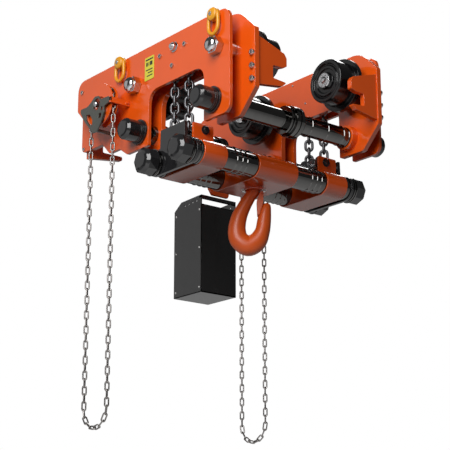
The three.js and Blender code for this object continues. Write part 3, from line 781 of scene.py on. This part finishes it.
# The chain guide: its place along X, then its outline and openings from the middle of its wheel.
GUIDE_X = (400, 406)
GUIDE_FACE = [
    (-72, -13, 2), (-45, -19, 6), (-46, -40, 10), (-29, -71, 20), (-5, -98, 6), (20, -98, 6),
    (40, -76), (80, -34, 12), (98, -4, 5), (96, 8, 5), (58, 6, 10), (37, 15, 10), (12, 31, 16),
    (-12, 27, 12), (-23, 12, 8), (-72, 9, 2),
]
GUIDE_OPENINGS = [
    [(63, -20, 6), (40, -26, 6), (24, -48, 8), (24, -68, 6), (38, -68, 6), (60, -40, 8)],
    [(-26, -15, 2), (-38, -20, 2), (-36, -30, 2), (-24, -30, 2)],
    [(-14, -37, 3), (-30, -38, 3), (-27, -54, 3), (-12, -54, 3)],
]


def guide_plate(at):
    """Open cast plate over the hand wheel, with a round arm back to the frame."""
    y, z = at

    def place(corners):
        return [(u + y, v + z) for u, v in outline(corners)]

    openings = [circle(y, z, 20, 40), *(place(corners) for corners in GUIDE_OPENINGS)]
    plate = prism(place(GUIDE_FACE), openings, *GUIDE_X, "x", 1)
    lug = block(GUIDE_X, (y - 84, y - 70), (z - 10, z + 4), 1)
    arm = rod("x", OUTER_FACE + 0.5, 404, 6, (y + 10, z - 88), 24, 1)
    return [plate, lug, arm]


def flat_arm(at):
    """Flat strip from the frame to the guide plate, bolted at the frame's end."""
    y, z = at
    strip = block((OUTER_FACE + 0.5, 406), (y - 84, y - 76), (z - 15, z + 5), 1, "y")
    return [strip, *hexagon_bolt("y", y - 84, -1, 9, 4, (340, z - 4), 1.5)]


def hand_chain_path(drive, x):
    """The free loop: down from the wheel's far side, round the bottom and up to its near side."""
    y, z = drive["at"]
    low = drive["bottom"] + PITCH_R
    steps = 40
    down = [(x, y + PITCH_R, z + (low - z) * k / steps) for k in range(steps)]
    bend = arc((y, low), PITCH_R, 0, -180, 24, x=x)
    up = [(x, y - PITCH_R, low + (z - low) * k / steps) for k in range(1, steps + 1)]
    return down + bend + up


for name, drive in DRIVES.items():
    side, at = drive["side"], drive["at"]
    chain_x = SIDES[side] * HAND_X
    piece(
        f"{name}_pocket_wheel", on_side(side, [pocket_wheel(at)]), drive["body"], "orange",
        [f"{name}_hand_wheel"],
    )
    inner = GEAR_X[0] + 1 if name == "trolley" else GEAR_CASE_COVER + GAP
    tip = [(inner, 0), (inner, 13), (396, 13), (397, 10), (412, 10), (416, 6), (416, 0)]
    shapes = [lathe(tip, "x", at, 48, 1)]
    if name == "trolley":
        phase = MESH_ANGLE + math.pi + math.pi / PINION_TEETH
        shapes.append(prism(gear_outline(PINION_TEETH, phase, *at), [], *GEAR_X, "x", 0.4))
        shapes.append(rod("x", GEAR_X[1] - 1, 252, 20, at, 48, 1))
    piece(
        f"{name}_wheel_shaft", on_side(side, shapes), drive["body"], "steel",
        [f"{name}_drive_shaft"],
    )
    piece(
        f"{name}_guide_plate", on_side(side, guide_plate(at)), "trolley_frame", "grey",
        [f"{name}_chain_guide"],
    )
    piece(f"{name}_guide_arm", on_side(side, flat_arm(at)), "trolley_frame", "orange")
    path = hand_chain_path(drive, chain_x)
    loop = piece(
        f"{name}_hand_chain_loop", chain(path, **HAND_CHAIN), "trolley_frame", "chain",
        [f"{name}_hand_chain"],
    )
    length = sum((Vector(a) - Vector(b)).length for a, b in zip(path, path[1:]))
    over = arc(at, PITCH_R, 180, 0, 24, x=chain_x)
    piece(f"{name}_hand_chain_on_wheel", chain(over, **HAND_CHAIN), "trolley_frame", "chain")
    [c * MM for c in path[0]]
    [[c * MM for c in p] for p in path]

# ---------- upper sheaves, gear case and load chain ----------


def sheave(core, rim, half, bore, axis, centre, along):
    """A grooved disc of width 2 * half, with its middle at a place along its axis."""
    line = [
        (-half, bore), (-half, rim), (2 - half, rim), (2.2 - half, core + 8), (4 - half, core),
        (half - 4, core), (half - 2.2, core + 8), (half - 2, rim), (half, rim), (half, bore),
    ]
    return lathe([(a + along, r) for a, r in line], axis, centre, 72, 0.6, True)


def upper_pin(side, y, name, node):
    centre = (y, SHEAVE_Z)
    shapes = [
        rod("x", INNER_FACE + 1, 345, 9, centre, 32, 2),
        *hexagon_bolt("x", OUTER_FACE + GAP, 1, 26, 10, centre, 2),
    ]
    piece(name, on_side(side, shapes), "trolley_frame", "chrome", [node])


# The upper sheave of each side: its place along Y, its body and its CAD node.
UPPER = {
    "left": (SHEAVE_Y, "left_return_sheave", "left_top_sheave"),
    "right": (SHEAVE_Y + 2 * SHEAVE_R, "lift_chain_wheel", "load_chain_wheel"),
}
for side, (y, body, node) in UPPER.items():
    disc = sheave(19, 43, 19.5, 9.4, "x", (y, SHEAVE_Z), CHAIN_X)
    piece(f"{node}_disc", on_side(side, [disc]), body, "steel", [node])
    upper_pin(side, y, f"{node}_bolt", f"{node}_pin")

case = outline([
    (150, 112, 12), (396, 112, 8), (406, 20, 16), (515, 20, 16), (515, 185, 12), (150, 185, 12),
])
cover = outline([
    (160, 122, 10), (408, 122, 8), (418, 30, 14), (505, 30, 14), (505, 175, 10), (160, 175, 10),
])
piece(
    "lift_gear_housing",
    [
        prism(case, [], 276, 303, "x", 2),
        prism(cover, [circle(*LIFT, 17, 48)], 302.5, GEAR_CASE_COVER, "x", 1),
    ],
    "trolley_frame",
    "grey",
    ["lift_gear_case"],
)

FALL_TOP = 135
for side, sign in SIDES.items():
    x = sign * CHAIN_X
    for i, y in enumerate(FALLS):
        piece(
            f"{side}_chain_fall_{i + 1}",
            chain([(x, y, FALL_TOP), (x, y, BLOCK_SHEAVE_Z)], **LOAD_CHAIN),
            "load_block", "load_chain", [f"{side}_load_chain_{i + 1}"],
        )

# Inside the block, each chain turns under its two sheaves and crosses from side to side.
for i, y in enumerate(FALLS):
    right = arc((BLOCK_SHEAVE_X, BLOCK_SHEAVE_Z), BLOCK_SHEAVE_R, 0, -90, 8, y=y)
    left = arc((-BLOCK_SHEAVE_X, BLOCK_SHEAVE_Z), BLOCK_SHEAVE_R, -90, -180, 8, y=y)
    piece(
        f"block_chain_run_{i + 1}", chain(right + left, **LOAD_CHAIN), "load_block", "load_chain"
    )

# ---------- load block ----------


def round_bars(between, steps=24):
    """Outline round both bars, with the given corners along its upper side from +Y to -Y."""
    half = [math.pi * k / steps - math.pi / 2 for k in range(steps + 1)]
    ends = [
        [(sign * (BAR_Y + SLEEVE_R * math.cos(a)), BAR_Z + sign * SLEEVE_R * math.sin(a)) for a in half]
        for sign in (1, -1)
    ]
    return [*ends[0], *between, *ends[1]]


BAR_HOLES = [circle(y, BAR_Z, 38.3, 64) for y in (-BAR_Y, BAR_Y)]
FLOOR = SLEEVE_TOP - 11
HOUSING = round_bars([(66, SLEEVE_TOP), (62, FLOOR), (-62, FLOOR), (-66, SLEEVE_TOP)])
END_PLATE = round_bars([(66, SLEEVE_TOP), (63, -127), (-63, -127), (-66, SLEEVE_TOP)])

SLEEVE_FOOT = BAR_Z - SLEEVE_R
HOOK_BOLT_R = 30
hook_bolts = []
for sign in (-1, 1):
    out = sign * HOOK_BOLT_R
    centre = (out * math.cos(HOOK_TURN), out * math.sin(HOOK_TURN))
    hook_bolts += hexagon_bolt("z", SLEEVE_FOOT, -1, 17, 6, centre, 2)
collar = [
    (SLEEVE_FOOT, 21.5), (SLEEVE_FOOT, 33), (SLEEVE_FOOT - 3, 33), (SLEEVE_FOOT - 5, 31),
    (SLEEVE_FOOT - 5, 21.5),
]
piece(
    "block_middle_housing",
    [
        prism(HOUSING, BAR_HOLES, -83, 83, "x", 2),
        lathe(collar, "z", (0, 0), 64, 1, True),
    ],
    "load_block",
    "orange",
    ["block_centre_housing"],
)
piece("block_hook_bolts", hook_bolts, "load_block", "screw")

cheek = outline([(228, -192), (310, -192), (310, -127, 6), (228, -127, 6)])
for side in SIDES:
    shapes = [
        prism(HOUSING, BAR_HOLES, 215, 307, "x", 2),
        prism(cheek, [], 66, 72, "y", PLATE_EDGE),
        prism(cheek, [], -72, -66, "y", PLATE_EDGE),
    ]
    piece(
        f"{side}_end_housing", on_side(side, shapes), "load_block", "orange",
        [f"{side}_block_housing"],
    )
    plate = prism(END_PLATE, BAR_HOLES, 326, 338, "x", 1.4)
    piece(
        f"{side}_end_cheek", on_side(side, [plate]), "load_block", "black",
        [f"{side}_block_end_plate"],
    )

# Distances from the middle of the thin rings on the block's bars.
BAR_RINGS = {"right": (150, 172, 193), "left": (130, 150, 172)}
BAR_R = 38


def block_bar(name, y, node):
    """Long bar with thin rings, a grooved sleeve at each end and a faceted cap nut."""
    half = [
        (83.3, BAR_R), (212, BAR_R), (214, BAR_R), (308, BAR_R), (308, 40.5), (314, 40.5),
        (314, 38.3), (325, 38.3), (339, 38.3), (341, 38.3), (341, 43), (346, 43), (346, 40.5),
        (349, 40.5), (349, 44), (352, 45), (352, 0),
    ]
    profile = [(-a, r) for a, r in reversed(half)] + half
    cap = [(352, 0), (352, 45), (388, 45), (398, 36), (401, 26), (401, 0)]
    centre = (y, BAR_Z)
    piece(name, [lathe(profile, "x", centre, 96, 0.4, steps=2)], "load_block", "bar", [node])
    rings, caps = [], []
    for side, places in BAR_RINGS.items():
        rings += on_side(side, snap_rings(places, BAR_R, centre))
        caps += on_side(side, [lathe(cap, "x", centre, 8, 1.6)])
    piece(f"{name}_rings", rings, "load_block", "bar")
    piece(f"{name}_caps", caps, "load_block", "black")


block_bar("block_front_rod", -BAR_Y, "block_front_bar")
block_bar("block_rear_rod", BAR_Y, "block_rear_bar")

for side, sign in SIDES.items():
    centre = (sign * BLOCK_SHEAVE_X, BLOCK_SHEAVE_Z)
    for i, y in enumerate(FALLS):
        disc = sheave(14, 30, 20, 8.4, "y", centre, y)
        piece(
            f"{side}_block_sheave_disc_{i + 1}", [disc], f"{side}_sheave_{i + 1}", "steel",
            [f"{side}_block_sheave_{i + 1}"],
        )
    shapes = [rod("y", -73, 73, 8, centre)]
    for out in (-1, 1):
        shapes += hexagon_bolt("y", out * 72.3, out, 22, 6, centre, 2)
    piece(
        f"{side}_block_sheave_bolt", shapes, "load_block", "black", [f"{side}_block_sheave_pin"]
    )

# ---------- hook ----------

# Middle line of the hook: across, height, half width in its plane, half depth.
HOOK_LINE = [
    (0, -205, 21, 21), (0, -240, 21, 21), (0, -278, 21, 21), (-13, -300, 20, 22), (-32, -334, 22, 23),
    (-49, -372, 26, 25), (-56, -412, 29, 27), (-49, -446, 32, 29), (-20, -468, 34, 30),
    (10, -452, 32, 28), (27, -420, 25, 25), (33, -386, 23, 21), (37, -356, 20, 18),
    (41, -338, 16, 15), (43, -327, 12, 11),
]


def curve_through(rows, between):
    """More rows between the given ones, on a smooth curve through them."""
    out = []
    count = len(rows)
    for k in range(count - 1):
        p = [Vector(rows[max(0, min(count - 1, k + d))]) for d in (-1, 0, 1, 2)]
        for i in range(between):
            t = i / between
            out.append(
                0.5 * (
                    2 * p[1] + (p[2] - p[0]) * t
                    + (2 * p[0] - 5 * p[1] + 4 * p[2] - p[3]) * t * t
                    + (3 * p[1] - p[0] - 3 * p[2] + p[3]) * t**3
                )
            )
    return out + [Vector(rows[-1])]


def hook_shape(sides=40):
    """The hook in the plane of X and Z, as oval sections across its middle line."""
    rows = curve_through(HOOK_LINE, 6)
    points, faces = [], []
    for k, row in enumerate(rows):
        before, after = rows[max(k - 1, 0)], rows[min(k + 1, len(rows) - 1)]
        along = Vector((after[0] - before[0], after[1] - before[1])).normalized()
        side = Vector((-along.y, along.x))
        for i in range(sides):
            a = 2 * math.pi * i / sides
            out = row[2] * math.cos(a)
            points.append((row[0] - side.x * out, row[3] * math.sin(a), row[1] - side.y * out))
    for k in range(len(rows) - 1):
        for i in range(sides):
            j = (i + 1) % sides
            faces.append([k * sides + i, k * sides + j, (k + 1) * sides + j, (k + 1) * sides + i])
    last = (len(rows) - 1) * sides
    # The top and the tip are closed by a shallow cone.
    for base, row, along in ((0, rows[0], (0, 2)), (last, rows[-1], (2.5, 7))):
        tip = len(points)
        points.append((row[0] + along[0], 0, row[1] + along[1]))
        for i in range(sides):
            faces.append([base + i, base + (i + 1) % sides, tip])
    return points, faces


piece("hook_forging", hook_turned([hook_shape()]), "hook_body", "cast", ["hook"])

# Outline of the latch in the hook's plane; its pin is near the top.
LATCH = [(20, -287, 2), (32, -287, 3), (31, -325, 8), (19, -366, 3), (11, -366, 3), (9, -320, 8)]
latch = [
    prism(outline(LATCH), [], -15, 15, "y", 1.5),
    rod("y", -18, 18, 4, (26, -290), 24, 0.8),
]
piece("hook_safety_latch", hook_turned(latch), "latch", "cast", ["hook_latch"])

# ---------- load rings and capacity plate ----------

RING_Y = {"front": -208, "rear": 303}
RING_Z, RING_BODY = 183, 24
# Middle line of the bar of a ring, from the middle of its body.
RING_LINE = [
    (0, 14), (18, 4), (23, -20), (23, -44), (16, -58), (0, -66), (-16, -58), (-23, -44),
    (-23, -20), (-18, 4),
]
MOUNT_X = OUTER_FACE + GAP


def load_ring(y, between=6):
    x, end = MOUNT_X, MOUNT_X + RING_BODY
    body = [(x, 0), (x, 22), (end - 5, 22), (end - 2, 19), (end, 13), (end, 0)]
    rows = [(x + 11, y + u, RING_Z + v) for u, v in RING_LINE]
    line = curve_through(rows[-1:] + rows + rows[:2], between)
    bar = line[between:between + between * len(rows)]
    return [lathe(body, "x", (y, RING_Z), 56, 1.6), ring_bar(bar, 6, 20)]


for side in SIDES:
    for end, y in RING_Y.items():
        name, body = f"{side}_{end}", f"{side}_{end}_ring"
        piece(
            f"{name}_lifting_ring", on_side(side, load_ring(y)), body, "yellow",
            [f"{name}_load_ring"],
        )
        x = MOUNT_X + RING_BODY
        screw = rod("x", x - 1, x + 2.5, 7, (y, RING_Z), 32, 0.8)
        piece(f"{name}_ring_screw", on_side(side, [screw]), body, "screw")

label = outline([(119, 76, 4), (170, 76, 4), (170, 158, 4), (119, 158, 4)])
piece(
    "capacity_label", mirrored([prism(label, [], MOUNT_X, MOUNT_X + 1.5, "x", 0.4)]),
    "trolley_frame", "label", ["capacity_plate"],
)
# Plain bars where a label carries its print: limits in Z, then in Y.
PRINT_ROWS = [
    (146, 151, 124, 165), (126, 140, 127, 141), (126, 140, 145, 149), (126, 140, 153, 162),
    (110, 114, 126, 163), (100, 104, 126, 152), (89, 93, 126, 158),
]
bars = [
    block((MOUNT_X + 1.3, MOUNT_X + 1.8), (y0, y1), (z0, z1), 0.15) for z0, z1, y0, y1 in PRINT_ROWS
]
piece("capacity_label_print", mirrored(bars), "trolley_frame", "print")

# ---------- chain container ----------

BOX_X, BOX_Y, BOX_SIDE = 196, 532, 166
BOX_BOTTOM, BOX_TOP, BOX_EAR = -501, -165, -130
WALL = 4


def container_shapes():
    x0, x1, y0, y1 = BOX_X, BOX_X + BOX_SIDE, BOX_Y, BOX_Y + BOX_SIDE
    corners = [
        (y0, BOX_BOTTOM, 4), (y1, BOX_BOTTOM, 4), (y1, BOX_TOP + 1, 2), (y0 + 124, BOX_EAR - 4, 6),
        (y0 + 22, BOX_EAR, 4), (y0, BOX_EAR, 4),
    ]
    holes = [circle(y0 + 30 + 24 * k, -148 - 1.5 * k, 3, 20) for k in range(4)]
    near = prism(outline(corners), holes, x0, x0 + WALL, "x", 1)
    far = prism(outline(corners), holes, x1 - WALL, x1, "x", 1)
    front = block((x0, x1), (y0, y0 + WALL), (BOX_BOTTOM, BOX_TOP), 1)
    back = block((x0, x1), (y1 - WALL, y1), (BOX_BOTTOM, BOX_TOP), 1)
    floor = block((x0, x1), (y0, y1), (BOX_BOTTOM, BOX_BOTTOM + WALL), 1)
    bridge = block((x0, x1), (y0, y0 + 14), (BOX_EAR - 12, BOX_EAR), 1)
    lip = [block((x0 + 4, x1 - 4), (y, y + 8), (BOX_TOP - 3, BOX_TOP), 0.8) for y in (y0, y1 - 8)]
    return [near, far, front, back, floor, bridge, *lip]


piece("container_box", container_shapes(), "trolley_frame", "sheet", ["chain_container"])
RIVET = [(BOX_X, 0), (BOX_X, 4.5), (BOX_X - 1.8, 3), (BOX_X - 1.8, 0)]
rivets = []
for y in (BOX_Y + 12, BOX_Y + BOX_SIDE - 12):
    for z in (-480, -330, -185):
        rivets.append(lathe(RIVET, "x", (y, z), 20, 0.4))
piece("container_rivets", rivets, "trolley_frame", "screw")

# ---------- floor, light and background ----------


# Lengths from here on are in metres.
ROOM_LIGHT = 0.08
FLOOR_GLOW = 0.26
FLOOR_HALF, FLOOR_LEVEL = 40.0, -1.9


def make_floor():
    """A pale floor, well below the lower ends of the chains. It lights the object's gloss only."""
    corners = [
        (u * FLOOR_HALF, v * FLOOR_HALF, FLOOR_LEVEL) for u, v in ((-1, -1), (1, -1), (1, 1), (-1, 1))
    ]
    mesh = bpy.data.meshes.new("floor")
    mesh.from_pydata(corners, [], [(0, 1, 2, 3)])
    nodes = Nodes("floor_paint")
    nodes.link(
        nodes.ramp(nodes.noise(1.5), [(0.3, (0.78, 0.78, 0.78)), (0.7, (0.82, 0.82, 0.82))]),
        nodes.shader.inputs["Base Color"],
    )
    nodes.set(Roughness=0.85, Emission_Color=(1, 1, 1, 1), Emission_Strength=FLOOR_GLOW)
    mesh.materials.append(nodes.material)
    floor = bpy.data.objects.new("floor", mesh)
    bpy.context.scene.collection.objects.link(floor)
    floor.visible_diffuse = False


def area_light(name, place, aim, size, power):
    """A softbox that the camera doesn't see."""
    data = bpy.data.lights.new(name, "AREA")
    data.shape = "RECTANGLE"
    data.size, data.size_y = size
    data.energy = power
    light = bpy.data.objects.new(name, data)
    light.location = place
    light.rotation_mode = "QUATERNION"
    light.rotation_quaternion = (Vector(aim) - Vector(place)).to_track_quat("-Z", "Y")
    light.visible_camera = False
    bpy.context.scene.collection.objects.link(light)


def make_world():
    """White to the camera, and a dim room for the light and reflections on the object."""
    world = bpy.data.worlds.new("studio")
    world.use_nodes = True
    tree = world.node_tree
    seen = tree.nodes["Background"]
    seen.inputs["Color"].default_value = (1, 1, 1, 1)
    seen.inputs["Strength"].default_value = 1.0
    lit = tree.nodes.new("ShaderNodeBackground")
    lit.inputs["Color"].default_value = (1, 1, 1, 1)
    lit.inputs["Strength"].default_value = ROOM_LIGHT
    rays = tree.nodes.new("ShaderNodeLightPath")
    mix = tree.nodes.new("ShaderNodeMixShader")
    tree.links.new(rays.outputs["Is Camera Ray"], mix.inputs["Fac"])
    tree.links.new(lit.outputs["Background"], mix.inputs[1])
    tree.links.new(seen.outputs["Background"], mix.inputs[2])
    tree.links.new(mix.outputs["Shader"], tree.nodes["World Output"].inputs["Surface"])
    bpy.context.scene.world = world


make_floor()
make_world()
area_light("key", (-3.4, -1.9, 1.4), (0, 0.1, -0.1), (2.4, 3.2), 200)
area_light("side_panel", (-2.12, 2.62, 0.93), (0, 0.2, -0.1), (2.4, 2.0), 7)
area_light("rim", (1.69, 2.08, 2.25), (0, 0.1, 0), (2.5, 1.5), 70)
bpy.context.scene.view_settings.view_transform = "Standard"
